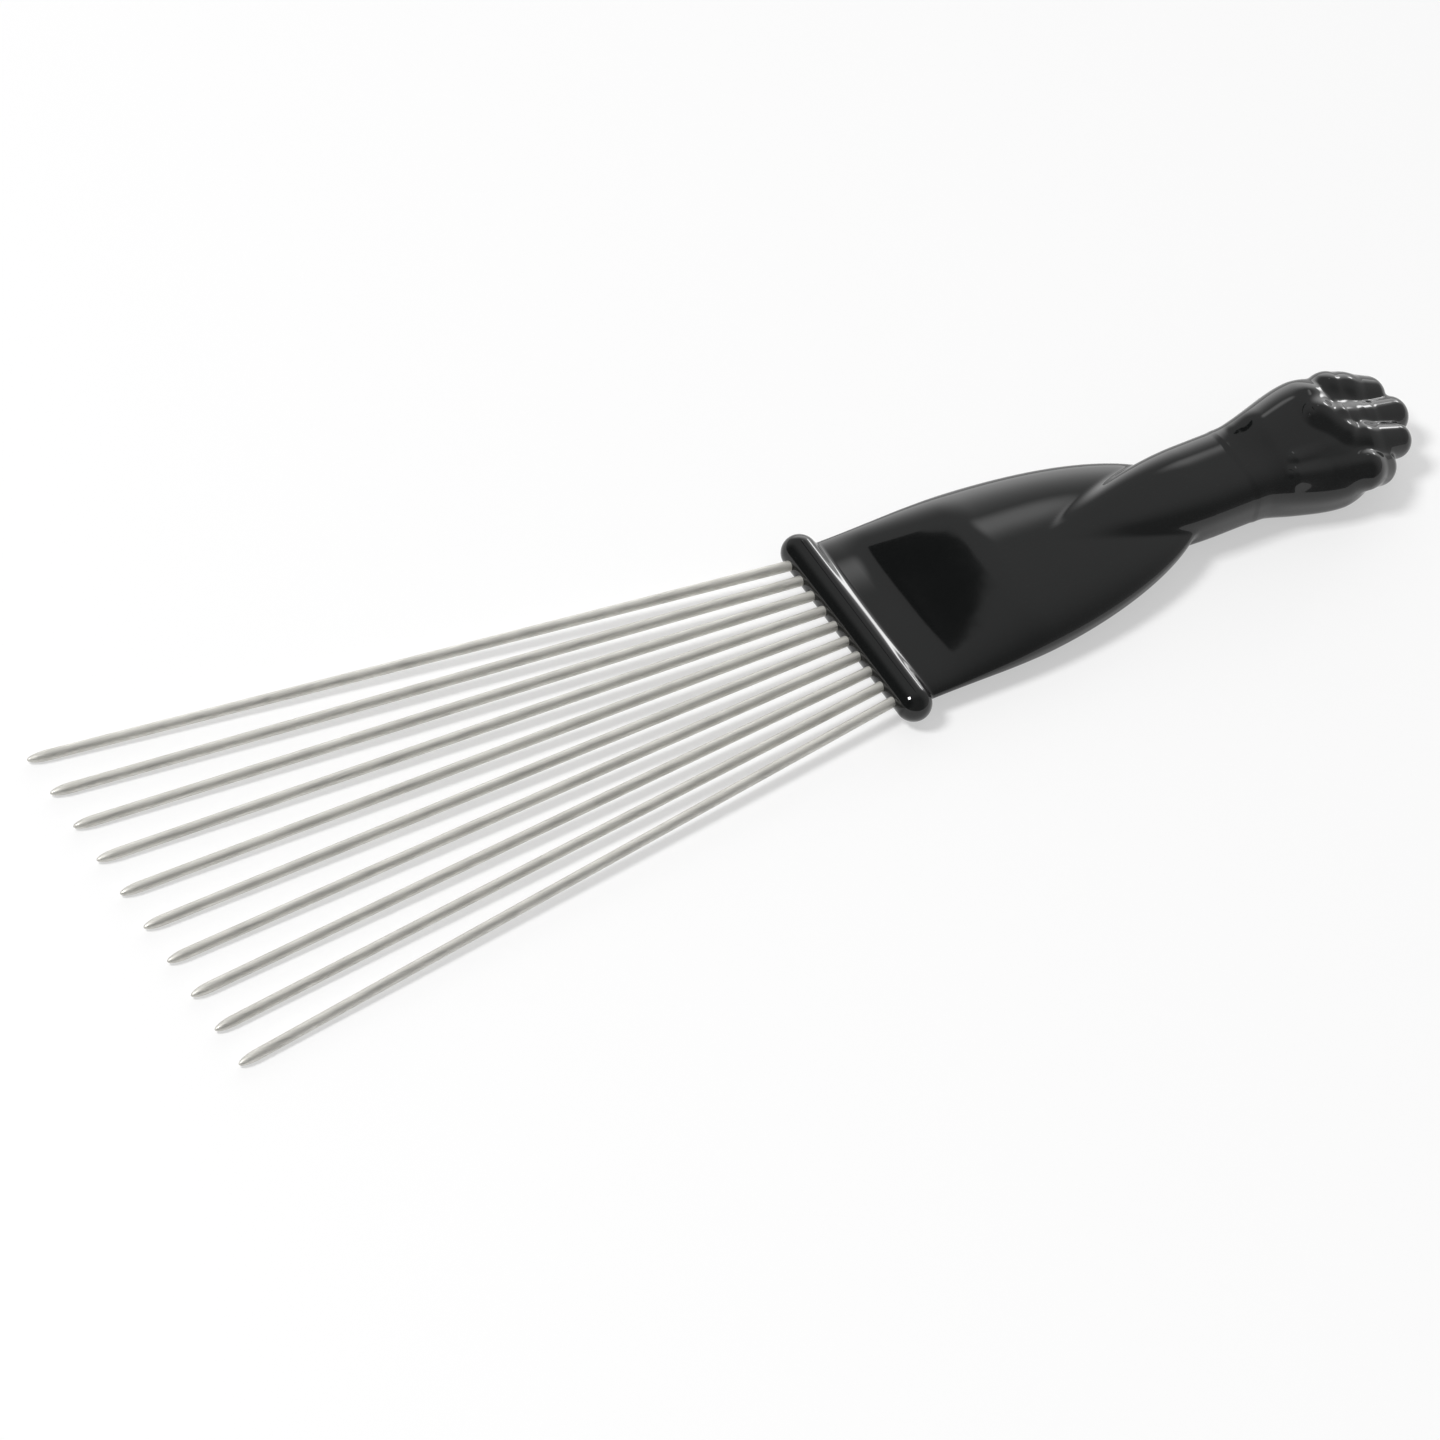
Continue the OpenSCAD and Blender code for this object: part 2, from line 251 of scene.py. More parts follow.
class HandleShape:
    """The handle as a bar, a paddle, a forearm and a fist that blend into one skin."""

    # Squareness of the cross sections, in which 2 is an ellipse and more is boxier
    PADDLE_SQUARENESS, FOREARM_SQUARENESS, PALM_SQUARENESS = 2.6, 3.26, 3.05
    # How fast the forearm widens, and its thickness at its root as a share of the wrist's
    FLARE_POWER = 1.9
    FOREARM_ROOT = 0.6
    # Least share of the flare, which keeps the forearm's point from closing to nothing
    FOREARM_POINT = 0.06
    # Softness of the ends of a ramp, as a share of its length
    SLOPE_SOFT = 0.12
    # Share of the shoulder over which the crown falls, and of the palm over which the forearm fades out
    CROWN_FALL = 0.78
    PALM_FADE = 0.4
    # Share of the palm's half length at which the rays start to fan out round the knuckles
    DOME_PLACE = 0.44
    # Softness of the folds between the forms and of the bends in the fingers and the thumb, as
    # multiples of the crease radius
    PADDLE_BLEND, FINGER_BLEND, THUMB_BLEND = 1.75, 1.86, 1.5
    FINGER_BEND, THUMB_BEND = 2.0, 3.0
    # Times that the search for the skin along a ray halves its range
    HALVINGS = 30
    # Shares of the palm's length over which it rises, widens and rolls, and after which it closes
    PALM_RISE, PALM_WIDEN, PALM_ROLL, PALM_CLOSE = 0.24, 0.62, 0.29, 0.59
    # Roll of the palm, and the share of the grip's rise that it keeps where it is widest
    PALM_TURN = math.radians(11.3)
    PALM_LEVEL = 0.77
    # Joints: place along, across and in height in shares of the palm's half sizes, and thickness in
    # shares of the diameter of the finger or the thumb
    FINGER_JOINT_SHARES = (
        (
            (0.626, 0.57, 0.508, 1.173),
            (0.817, 0.521, 0.37, 1.121),
            (1.178, 0.471, 0.025, 1.022),
        ),
        (
            (0.463, 0.041, 0.618, 0.906),
            (0.801, 0.053, 0.088, 1.2),
            (1.314, 0.07, -0.164, 1.004),
        ),
        (
            (-0.364, -0.367, 0.72, 0.483),
            (0.111, -0.319, 0.51, 0.589),
            (0.603, -0.352, 0.227, 1.193),
            (1.113, -0.394, -0.02, 0.908),
        ),
        (
            (-0.45, -0.575, 0.592, 0.597),
            (0.112, -0.662, 0.332, 0.692),
            (0.475, -0.755, 0.232, 0.986),
            (0.729, -0.669, -0.103, 0.99),
        ),
    )
    THUMB_JOINT_SHARES = (
        (-0.736, 0.398, 0.442, 0.938),
        (0.296, 0.494, 0.633, 1),
        (0.233, 0.172, 0.639, 1.158),
        (0.409, -0.224, 0.59, 0.952),
    )

    def __init__(self, s, tines):
        self.s = s
        self.bar_length = (tines["count"] - 1) * tines["base_pitch"] + 2.0 * s["bar_end"]
        self.paddle_w = self.bar_length - 2.0 * s["bar_overhang"]
        self.crown_x = s["land"] + s["swell"]
        self.crown_fall = s["shoulder"] * self.CROWN_FALL
        self.palm_start = s["hand_x"] - s["palm_length"] / 2.0
        self.palm_fade = s["palm_length"] * self.PALM_FADE
        self.palm_mid = np.array([s["hand_x"], 0.0, s["rise"] * 0.5])
        self.palm_half = np.array([s["palm_length"], s["palm_w"], s["palm_t"]]) / 2.0
        self.dome_x = s["hand_x"] + self.palm_half[0] * self.DOME_PLACE
        self.fingers = [[self.joint(j, s["finger_d"]) for j in finger] for finger in self.FINGER_JOINT_SHARES]
        self.thumb = [self.joint(j, s["thumb_d"]) for j in self.THUMB_JOINT_SHARES]

    def joint(self, place, diameter):
        """A joint in the hand, from its shares of the palm's half sizes."""
        return self.palm_mid + np.array(place[:3]) * self.palm_half, diameter * place[3] / 2.0

    def middle_z(self, x):
        """Height of the handle's middle above the plane of the tines."""
        s = self.s
        return s["rise"] * ease((x - self.crown_x) / (s["forearm_start"] + s["forearm_flare"] - self.crown_x))

    def paddle_half(self, x):
        """Half width and half thickness of the paddle."""
        s = self.s
        closing = np.clip((x - s["straight"]) / s["shoulder"], 0.0, 0.999)
        falling = np.clip((x - self.crown_x) / self.crown_fall, 0.0, 0.99)
        swelling = ramp((x - s["land"]) / s["swell"], self.SLOPE_SOFT)
        thick = s["paddle_root_t"] + (s["paddle_t"] - s["paddle_root_t"]) * swelling
        return self.paddle_w / 2.0 * np.sqrt(1.0 - closing**2), thick / 2.0 * np.sqrt(1.0 - falling**2)

    def forearm_half(self, x):
        """Half width and half thickness of the forearm."""
        s = self.s
        flare = np.clip((x - s["forearm_start"]) / s["forearm_flare"], self.FOREARM_POINT, 1.0)
        nose = np.sqrt(1.0 - np.clip((x - self.palm_start) / self.palm_fade, 0.0, 0.99) ** 2)
        growth = 1.0 - (1.0 - flare) ** self.FLARE_POWER
        thick = s["wrist_t"] / 2.0 * (self.FOREARM_ROOT + (1.0 - self.FOREARM_ROOT) * growth)
        return s["wrist_w"] / 2.0 * growth * nose, thick * nose

    def paddle_gap(self, p):
        """Distance outside the paddle."""
        x, y, z = p.T
        wide, thick = self.paddle_half(x)
        side = oval_gap(((y, wide), (z - self.middle_z(x), thick)), self.PADDLE_SQUARENESS)
        return np.maximum(side, np.maximum(-x, x - self.s["straight"] - self.s["shoulder"]))

    def forearm_gap(self, p):
        """Distance outside the forearm, a tongue that rises out of the paddle."""
        x, y, z = p.T
        wide, thick = self.forearm_half(x)
        side = oval_gap(((y, wide), (z - self.middle_z(x), thick)), self.FOREARM_SQUARENESS)
        return np.maximum(side, np.maximum(self.s["forearm_start"] - x, x - self.palm_start - self.palm_fade))

    def bar_gap(self, p):
        """Distance outside the round bar with domed ends."""
        r = self.s["bar_d"] / 2.0
        end = np.array([0.0, self.bar_length / 2.0 - r, 0.0])
        return rod_gap(p, -end, end, r, r)

    def palm_gap(self, p):
        """Distance outside the palm, which rises from a crease, rolls over and closes under the knuckles."""
        s = self.s
        x, y, z = p.T
        along = (x - self.palm_start) / s["palm_length"]
        cap = np.sqrt(1.0 - np.clip((along - self.PALM_CLOSE) / (1.0 - self.PALM_CLOSE), 0.0, 0.99) ** 2)
        rising = ramp(along / self.PALM_RISE, self.SLOPE_SOFT)
        widening = ease(along / self.PALM_WIDEN)
        turn = self.PALM_TURN * ease(along / self.PALM_ROLL)
        z = z - s["rise"] * (1.0 - (1.0 - self.PALM_LEVEL) * widening)
        wide = (s["wrist_w"] + (s["palm_w"] - s["wrist_w"]) * widening) / 2.0 * cap
        thick = (s["wrist_t"] + (s["palm_t"] - s["wrist_t"]) * rising) / 2.0 * cap
        turned = y * np.cos(turn) + z * np.sin(turn), z * np.cos(turn) - y * np.sin(turn)
        side = oval_gap(tuple(zip(turned, (wide, thick))), self.PALM_SQUARENESS)
        return np.maximum(side, np.maximum(self.palm_start - x, x - self.palm_start - s["palm_length"]))

    def hand_gap(self, p):
        """Distance outside the closed fist, with the thumb laid across the fingers."""
        crease = self.s["crease"]
        hand = self.palm_gap(p)
        for joints in self.fingers:
            hand = blend(hand, chain_gap(p, joints, crease * self.FINGER_BEND), crease * self.FINGER_BLEND)
        return blend(hand, chain_gap(p, self.thumb, crease * self.THUMB_BEND), crease * self.THUMB_BLEND)

    def gap(self, p):
        """Distance outside the whole handle."""
        s = self.s
        out = blend(self.paddle_gap(p), self.forearm_gap(p), s["crease"] * self.PADDLE_BLEND)
        near_bar = p[:, 0] < s["bar_d"]
        out[near_bar] = blend(out[near_bar], self.bar_gap(p[near_bar]), s["bar_fillet"])
        near_hand = p[:, 0] > self.palm_start - s["wrist_blend"]
        out[near_hand] = blend(out[near_hand], self.hand_gap(p[near_hand]), s["wrist_blend"])
        return out

    def spine_half(self, x):
        """Half length of the line across the handle that the rays of a ring start from."""
        s = self.s
        bar = (self.bar_length - s["bar_d"]) / 2.0
        paddle = self.paddle_half(np.minimum(x, s["straight"] + s["shoulder"]))
        wrist = (s["wrist_w"] - s["wrist_t"]) / 2.0
        limb = np.maximum(paddle[0] - paddle[1], wrist)
        palm = self.palm_half[1] - self.palm_half[2]
        hand = wrist + (palm - wrist) * ease((x - self.palm_start) / self.palm_half[0])
        behind = limb + (hand - limb) * ease((x - self.palm_start + s["wrist_blend"]) / s["wrist_blend"])
        return bar + (behind - bar) * ease(x / (2.0 * s["bar_d"]))

    def surface(self, base, rays):
        """Points of the skin on rays from base, found by halving."""
        low, high = np.zeros(len(base)), np.full(len(base), self.bar_length)
        for _ in range(self.HALVINGS):
            mid = (low + high) / 2.0
            inside = self.gap(base + rays * mid[:, None]) < 0.0
            low, high = np.where(inside, mid, low), np.where(inside, high, mid)
        return base + rays * ((low + high) / 2.0)[:, None]


FULL_RINGS, FULL_SIDES = (14, 40, 120, 110, 84), 240


def moulding_mesh(shape, sides, rings):
    """The handle's closed skin, as rings of rays from the front of the bar to the knuckles."""
    front, fillet, limb, palm, dome = rings
    r = shape.s["bar_d"] / 2.0
    # Each ring has a place along the handle and the lean of its rays from straight across, in degrees
    stations = [(0.0, -90.0 + 90.0 * i / front) for i in range(front)]
    stations += [(x, 0.0) for x in np.linspace(0.0, 2.0 * r, fillet, endpoint=False)]
    stations += [(x, 0.0) for x in np.linspace(2.0 * r, shape.palm_start, limb, endpoint=False)]
    stations += [(x, 0.0) for x in np.linspace(shape.palm_start, shape.dome_x, palm, endpoint=False)]
    stations += [(shape.dome_x, 90.0 * i / dome) for i in range(dome + 1)]
    turn = 2.0 * math.pi * np.arange(sides) / sides
    base, rays = [], []
    for x, lean in stations:
        spine = float(shape.spine_half(np.array([x]))[0])
        height = float(shape.middle_z(np.array([x]))[0])
        base.append(np.stack([np.full(sides, x), spine * np.cos(turn), np.full(sides, height)], 1))
        ahead, aside = math.sin(math.radians(lean)), math.cos(math.radians(lean))
        rays.append(np.stack([np.full(sides, ahead), aside * np.cos(turn), aside * np.sin(turn)], 1))
    points = shape.surface(np.concatenate(base), np.concatenate(rays))
    index = np.arange(len(points)).reshape(len(stations), sides)
    for row in (0, -1):
        # The first and last rings lie flat on a line, so their upper and lower halves share points
        mirrored = index[row][(-np.arange(sides)) % sides]
        index[row] = np.where(np.arange(sides) > sides // 2, mirrored, index[row])
    a, b = index[:-1], index[1:]
    quads = np.stack([a, np.roll(a, -1, 1), np.roll(b, -1, 1), b], -1).reshape(-1, 4)
    faces = []
    for quad in quads.tolist():
        corners = [v for i, v in enumerate(quad) if v != quad[i - 1]]
        if len(set(corners)) >= 3:
            faces.append(corners)
    used = sorted({v for face in faces for v in face})
    renumber = {v: i for i, v in enumerate(used)}
    mesh = bpy.data.meshes.new("handle_moulding")
    mesh.from_pydata((points[used] * MM).tolist(), [], [[renumber[v] for v in face] for face in faces])
    mesh.validate()
    mesh.shade_smooth()
    return mesh


# Finishes


def socket(tree, name, kind, default=None, output=False):
    """A named socket on the outside of a node group."""
    made = tree.interface.new_socket(name=name, in_out="OUTPUT" if output else "INPUT", socket_type=kind)
    if default is not None:
        made.default_value = default


def node(tree, kind, **settings):
    """A node with its settings; keys that name an input socket set that input."""
    made = tree.nodes.new(kind)
    for key, value in settings.items():
        if hasattr(made, key):
            setattr(made, key, value)
        else:
            made.inputs[key].default_value = value
    return made


def link(tree, source, target):
    """Joins an output to an input."""
    tree.links.new(source, target)


def streak_group():
    """Fine streaks and a slow drift over a surface, for wear in plastic and drawing lines in wire."""
    tree = bpy.data.node_groups.new("surface_wear", "ShaderNodeTree")
    socket(tree, "Vector", "NodeSocketVector")
    socket(tree, "Streak Size", "NodeSocketVector", (1.0, 1.0, 1.0))
    socket(tree, "Drift Scale", "NodeSocketFloat", 60.0)
    socket(tree, "Streaks", "NodeSocketFloat", output=True)
    socket(tree, "Drift", "NodeSocketFloat", output=True)
    inner = node(tree, "NodeGroupInput")
    out = node(tree, "NodeGroupOutput")
    stretch = node(tree, "ShaderNodeVectorMath", operation="MULTIPLY")
    streaks = node(tree, "ShaderNodeTexNoise", Scale=1.0, Detail=3.0, Roughness=0.6)
    drift = node(tree, "ShaderNodeTexNoise", Detail=2.0, Roughness=0.5)
    link(tree, inner.outputs["Vector"], stretch.inputs[0])
    link(tree, inner.outputs["Streak Size"], stretch.inputs[1])
    link(tree, stretch.outputs["Vector"], streaks.inputs["Vector"])
    link(tree, inner.outputs["Vector"], drift.inputs["Vector"])
    link(tree, inner.outputs["Drift Scale"], drift.inputs["Scale"])
    link(tree, streaks.outputs["Fac"], out.inputs["Streaks"])
    link(tree, drift.outputs["Fac"], out.inputs["Drift"])
    return tree


def wear_group():
    """The shared wear group, built once."""
    return bpy.data.node_groups.get("surface_wear") or streak_group()


def new_material(name):
    """An empty material with its shader, coordinates and wear group."""
    material = bpy.data.materials.new(name)
    material.use_nodes = True
    tree = material.node_tree
    shader = tree.nodes["Principled BSDF"]
    coordinates = node(tree, "ShaderNodeTexCoord")
    wear = node(tree, "ShaderNodeGroup", node_tree=wear_group())
    link(tree, coordinates.outputs["Object"], wear.inputs["Vector"])
    return material, tree, shader, wear


def remap(tree, source, low, high, from_low=0.3, from_high=0.7):
    """A value spread from one range to another."""
    made = node(tree, "ShaderNodeMapRange", clamp=True)
    for name, value in (("From Min", from_low), ("From Max", from_high), ("To Min", low), ("To Max", high)):
        made.inputs[name].default_value = value
    link(tree, source, made.inputs["Value"])
    return made.outputs["Result"]


def tint(tree, factor, a, b):
    """A colour between a and b."""
    made = node(tree, "ShaderNodeMix", data_type="RGBA")
    colours = [i for i in made.inputs if i.type == "RGBA"]
    for place, value in zip(colours, (a, b)):
        place.default_value = (*value, 1.0)
    link(tree, factor, made.inputs["Factor"])
    return [o for o in made.outputs if o.type == "RGBA"][0]


def bump(tree, shader, height, strength, distance):
    """A bump of the given height in metres."""
    made = node(tree, "ShaderNodeBump", Strength=strength, Distance=distance)
    link(tree, height, made.inputs["Height"])
    link(tree, made.outputs["Normal"], shader.inputs["Normal"])


def plastic_material(finish):
    """Black moulded plastic with a high gloss, a faint ripple, hairline wear and a trace of dust."""
    material, tree, shader, wear = new_material("black_plastic")
    wear.inputs["Streak Size"].default_value = (900.0, 3200.0, 3200.0)
    wear.inputs["Drift Scale"].default_value = 130.0
    dust = remap(tree, wear.outputs["Streaks"], 0.0, 0.05, from_low=0.58, from_high=0.8)
    link(tree, tint(tree, dust, tuple(finish.plastic), tuple(finish.dust)), shader.inputs["Base Color"])
    rough = finish.plastic_rough
    link(tree, remap(tree, wear.outputs["Drift"], rough * 0.75, rough * 1.3), shader.inputs["Roughness"])
    bump(tree, shader, wear.outputs["Drift"], 0.25, 0.00004)
    shader.inputs["IOR"].default_value = 1.5
    return material


def wire_material(finish):
    """Satin nickel plating on drawn wire, with fine lines along each tine."""
    material, tree, shader, wear = new_material("plated_wire")
    wear.inputs["Streak Size"].default_value = (90.0, 5200.0, 5200.0)
    wear.inputs["Drift Scale"].default_value = 180.0
    dull = remap(tree, wear.outputs["Drift"], 0.0, 0.7, from_low=0.4, from_high=0.72)
    link(tree, tint(tree, dull, tuple(finish.wire), tuple(finish.wire_dull)), shader.inputs["Base Color"])
    rough = finish.wire_rough
    link(tree, remap(tree, wear.outputs["Streaks"], rough * 0.7, rough * 1.35), shader.inputs["Roughness"])
    bump(tree, shader, wear.outputs["Streaks"], 0.35, 0.00001)
    shader.inputs["Metallic"].default_value = 1.0
    return material


# Tines


# Rings that round off each tip, and sides of each wire
TIP_RINGS, WIRE_SIDES = 12, 40


def tine_fan_tree():
    """A fan of wires: one tapered wire, repeated along the bar and turned to its place in the fan."""
    tree = bpy.data.node_groups.new("tine_fan", "GeometryNodeTree")
    tree.is_modifier = True
    socket(tree, "Geometry", "NodeSocketGeometry", output=True)
    for name, kind in (
        ("Tines", "NodeSocketInt"),
        ("Tine Length", "NodeSocketFloat"),
        ("Wire Diameter", "NodeSocketFloat"),
        ("Pitch at Bar", "NodeSocketFloat"),
        ("Pitch at Tips", "NodeSocketFloat"),
        ("Tip Taper", "NodeSocketFloat"),
        ("Root Depth", "NodeSocketFloat"),
        ("Bar Radius", "NodeSocketFloat"),
        ("Tip Rings", "NodeSocketInt"),
        ("Wire Sides", "NodeSocketInt"),
        ("Finish", "NodeSocketMaterial"),
    ):
        socket(tree, name, kind)
    given = node(tree, "NodeGroupInput")
    out = node(tree, "NodeGroupOutput")

    def math_node(operation, a, b=None):
        """The result of a math node on numbers or outputs."""
        made = node(tree, "ShaderNodeMath", operation=operation)
        for place, value in enumerate((a, b)):
            if value is None:
                continue
            if isinstance(value, (int, float)):
                made.inputs[place].default_value = value
            else:
                link(tree, value, made.inputs[place])
        return made.outputs[0]

    def vector(x=None, y=None, z=None):
        """A vector of numbers or outputs, with 0 where none is given."""
        made = node(tree, "ShaderNodeCombineXYZ")
        for place, value in enumerate((x, y, z)):
            if isinstance(value, (int, float)):
                made.inputs[place].default_value = value
            elif value is not None:
                link(tree, value, made.inputs[place])
        return made.outputs[0]

    # One wire along -X: the first point is the end of the root, and the rest round off the tip
    index = node(tree, "GeometryNodeInputIndex").outputs[0]
    rings = given.outputs["Tip Rings"]
    points = math_node("ADD", rings, 2.0)
    left = math_node("SUBTRACT", math_node("ADD", rings, 1.0), index)
    quarter = math.pi / 2.0
    angle = math_node("MINIMUM", math_node("MULTIPLY", math_node("DIVIDE", left, rings), quarter), quarter)
    bend = math_node("SUBTRACT", 1.0, math_node("COSINE", angle))
    rounding = math_node("MULTIPLY", given.outputs["Tip Taper"], bend)
    tip_x = math_node("SUBTRACT", rounding, given.outputs["Tine Length"])
    is_root = math_node("LESS_THAN", index, 0.5)
    along = node(tree, "ShaderNodeMix", data_type="FLOAT")
    link(tree, is_root, along.inputs["Factor"])
    link(tree, tip_x, along.inputs[2])
    link(tree, given.outputs["Root Depth"], along.inputs[3])
    half_wire = math_node("MULTIPLY", given.outputs["Wire Diameter"], 0.5)
    radius = math_node("MULTIPLY", half_wire, math_node("SINE", angle))
    line = node(tree, "GeometryNodeCurvePrimitiveLine")
    resample = node(tree, "GeometryNodeResampleCurve")
    place = node(tree, "GeometryNodeSetPosition")
    ring = node(tree, "GeometryNodeCurvePrimitiveCircle", Radius=1.0)
    wire = node(tree, "GeometryNodeCurveToMesh")
    wire.inputs["Fill Caps"].default_value = True
    link(tree, line.outputs["Curve"], resample.inputs["Curve"])
    link(tree, points, resample.inputs["Count"])
    link(tree, resample.outputs["Curve"], place.inputs["Geometry"])
    link(tree, vector(along.outputs[0]), place.inputs["Position"])
    link(tree, place.outputs["Geometry"], wire.inputs["Curve"])
    link(tree, given.outputs["Wire Sides"], ring.inputs["Resolution"])
    link(tree, ring.outputs["Curve"], wire.inputs["Profile Curve"])
    link(tree, radius, wire.inputs["Scale"])

    # The row of roots on the front of the bar
    middle = math_node("DIVIDE", math_node("SUBTRACT", given.outputs["Tines"], 1.0), 2.0)
    offset = math_node("SUBTRACT", node(tree, "GeometryNodeInputIndex").outputs[0], middle)
    row = node(tree, "GeometryNodeMeshLine")
    seat = node(tree, "GeometryNodeSetPosition")
    link(tree, given.outputs["Tines"], row.inputs["Count"])
    link(tree, row.outputs["Mesh"], seat.inputs["Geometry"])
    front = math_node("MULTIPLY", given.outputs["Bar Radius"], -1.0)
    across = math_node("MULTIPLY", offset, given.outputs["Pitch at Bar"])
    link(tree, vector(front, across), seat.inputs["Position"])
    widening = math_node("SUBTRACT", given.outputs["Pitch at Tips"], given.outputs["Pitch at Bar"])
    spread = math_node("MULTIPLY", offset, widening)
    fan_angle = math_node("ARCTANGENT", math_node("DIVIDE", spread, given.outputs["Tine Length"]))
    turned = node(tree, "FunctionNodeEulerToRotation")
    link(tree, vector(None, None, math_node("MULTIPLY", fan_angle, -1.0)), turned.inputs[0])
    fan = node(tree, "GeometryNodeInstanceOnPoints")
    link(tree, seat.outputs["Geometry"], fan.inputs["Points"])
    link(tree, wire.outputs["Mesh"], fan.inputs["Instance"])
    link(tree, turned.outputs[0], fan.inputs["Rotation"])
    # An outer wire is longer than the middle ones, so that all the tips end on one line
    longer = math_node("DIVIDE", 1.0, math_node("COSINE", fan_angle))
    link(tree, vector(longer, 1.0, 1.0), fan.inputs["Scale"])
    real = node(tree, "GeometryNodeRealizeInstances")
    finish = node(tree, "GeometryNodeSetMaterial")
    link(tree, fan.outputs["Instances"], real.inputs["Geometry"])
    link(tree, real.outputs["Geometry"], finish.inputs["Geometry"])
    link(tree, given.outputs["Finish"], finish.inputs["Material"])
    link(tree, finish.outputs["Geometry"], out.inputs["Geometry"])
    return tree


def set_inputs(modifier, values):
    """Sets a modifier's inputs by the names of its tree's sockets."""
    for item in modifier.node_group.interface.items_tree:
        if item.item_type == "SOCKET" and item.in_out == "INPUT" and item.name in values:
            modifier[item.identifier] = values[item.name]


def baked(obj):
    """A plain mesh of obj as it looks with its modifiers."""
    bpy.context.view_layer.update()
    evaluated = obj.evaluated_get(bpy.context.evaluated_depsgraph_get())
    return bpy.data.meshes.new_from_object(evaluated)


def new_object(name, mesh, material):
    """A new object at the origin with one material."""
    obj = bpy.data.objects.new(name, mesh)
    bpy.context.scene.collection.objects.link(obj)
    mesh.materials.clear()
    mesh.materials.append(material)
    return obj


class PICK_OT_handle(bpy.types.Operator):
    """Builds the handle as one moulding: the bar, the paddle, the forearm and the fist"""

    bl_idname = "pick.handle"
    bl_label = "Handle"

    def execute(self, context):
        scene = context.scene
        shape = HandleShape(sizes(scene.pick_handle), sizes(scene.pick_tines))
        sides, rings = ((FULL_SIDES, FULL_RINGS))
        mesh = moulding_mesh(shape, sides, rings)
        handle = new_object("handle_moulding", mesh, plastic_material(scene.pick_finishes))
        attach(handle, "root")
        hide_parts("handle")
        return {"FINISHED"}


class PICK_OT_tines(bpy.types.Operator):
    """Builds the fan of plated wire tines"""

    bl_idname = "pick.tines"
    bl_label = "Tines"

    def execute(self, context):
        scene = context.scene
        s = scene.pick_tines
        material = wire_material(scene.pick_finishes)
        seed = new_object("tine_fan_seed", bpy.data.meshes.new("tine_fan_seed"), material)
        fan = seed.modifiers.new("tine_fan", "NODES")
        fan.node_group = tine_fan_tree()
        set_inputs(
            fan,
            {
                "Tines": s.count,
                "Tine Length": s.reach,
                "Wire Diameter": s.wire,
                "Pitch at Bar": s.base_pitch,
                "Pitch at Tips": s.tip_pitch,
                "Tip Taper": s.taper,
                "Root Depth": s.root,
                "Bar Radius": scene.pick_handle.bar_d / 2.0,
                "Tip Rings": TIP_RINGS,
                "Wire Sides": WIRE_SIDES,
                "Finish": material,
            },
        )
        mesh = baked(seed)
        bpy.data.objects.remove(seed)
        mesh.name = "tines"
        mesh.shade_smooth()
        tines = new_object("tines", mesh, material)
        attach(tines, "root")
        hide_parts(*TINE_NODES)
        return {"FINISHED"}


def floor_material(studio):
    """A pale floor that the camera and reflections see close to white, and that keeps the shadow."""
    material = bpy.data.materials.new("floor")
    material.use_nodes = True
    tree = material.node_tree
    shader = tree.nodes["Principled BSDF"]
    shader.inputs["Base Color"].default_value = (*studio.floor, 1.0)
    shader.inputs["Roughness"].default_value = 1.0
    shader.inputs["Specular IOR Level"].default_value = 0.0
    white = node(tree, "ShaderNodeEmission", Strength=1.0)
    path = node(tree, "ShaderNodeLightPath")
    seen = node(tree, "ShaderNodeMath", operation="MAXIMUM")
    through = node(tree, "ShaderNodeMath", operation="MAXIMUM")
    amount = node(tree, "ShaderNodeMath", operation="MULTIPLY")
    mix = node(tree, "ShaderNodeMixShader")
    link(tree, path.outputs["Is Camera Ray"], seen.inputs[0])
    link(tree, path.outputs["Is Glossy Ray"], seen.inputs[1])
    link(tree, seen.outputs[0], through.inputs[0])
    link(tree, path.outputs["Is Transmission Ray"], through.inputs[1])
    link(tree, through.outputs[0], amount.inputs[0])
    amount.inputs[1].default_value = studio.floor_white
    link(tree, amount.outputs[0], mix.inputs["Fac"])
    link(tree, shader.outputs[0], mix.inputs[1])
    link(tree, white.outputs[0], mix.inputs[2])
    link(tree, mix.outputs[0], tree.nodes["Material Output"].inputs["Surface"])
    return material


def card_material(name, value):
    """A plain matt card that hangs in the studio."""
    material = bpy.data.materials.new(name)
    material.use_nodes = True
    shader = material.node_tree.nodes["Principled BSDF"]
    shader.inputs["Base Color"].default_value = (value, value, value, 1.0)
    shader.inputs["Roughness"].default_value = 1.0
    shader.inputs["Specular IOR Level"].default_value = 0.0
    return material


def flat_piece(name, corners, material):
    """A flat stage piece through the given corners."""
    mesh = bpy.data.meshes.new(name)
    mesh.from_pydata([tuple(c) for c in corners], [], [list(range(len(corners)))])
    piece = new_object(name, mesh, material)
    return piece


def lamp(name, place, target, size, power):
    """A square soft lamp that looks at target."""
    data = bpy.data.lights.new(name, "AREA")
    data.shape = "SQUARE"
    data.size = size
    data.energy = power
    made = bpy.data.objects.new(name, data)
    made.location = place
    made.rotation_euler = (Vector(target) - Vector(place)).to_track_quat("-Z", "Y").to_euler()
    bpy.context.scene.collection.objects.link(made)


def aim(azimuth, elevation, distance=1.0):
    """A place seen from the origin at a compass angle from +X and an elevation, in degrees."""
    a, e = math.radians(azimuth), math.radians(elevation)
    return Vector((math.cos(a) * math.cos(e), math.sin(a) * math.cos(e), math.sin(e))) * distance


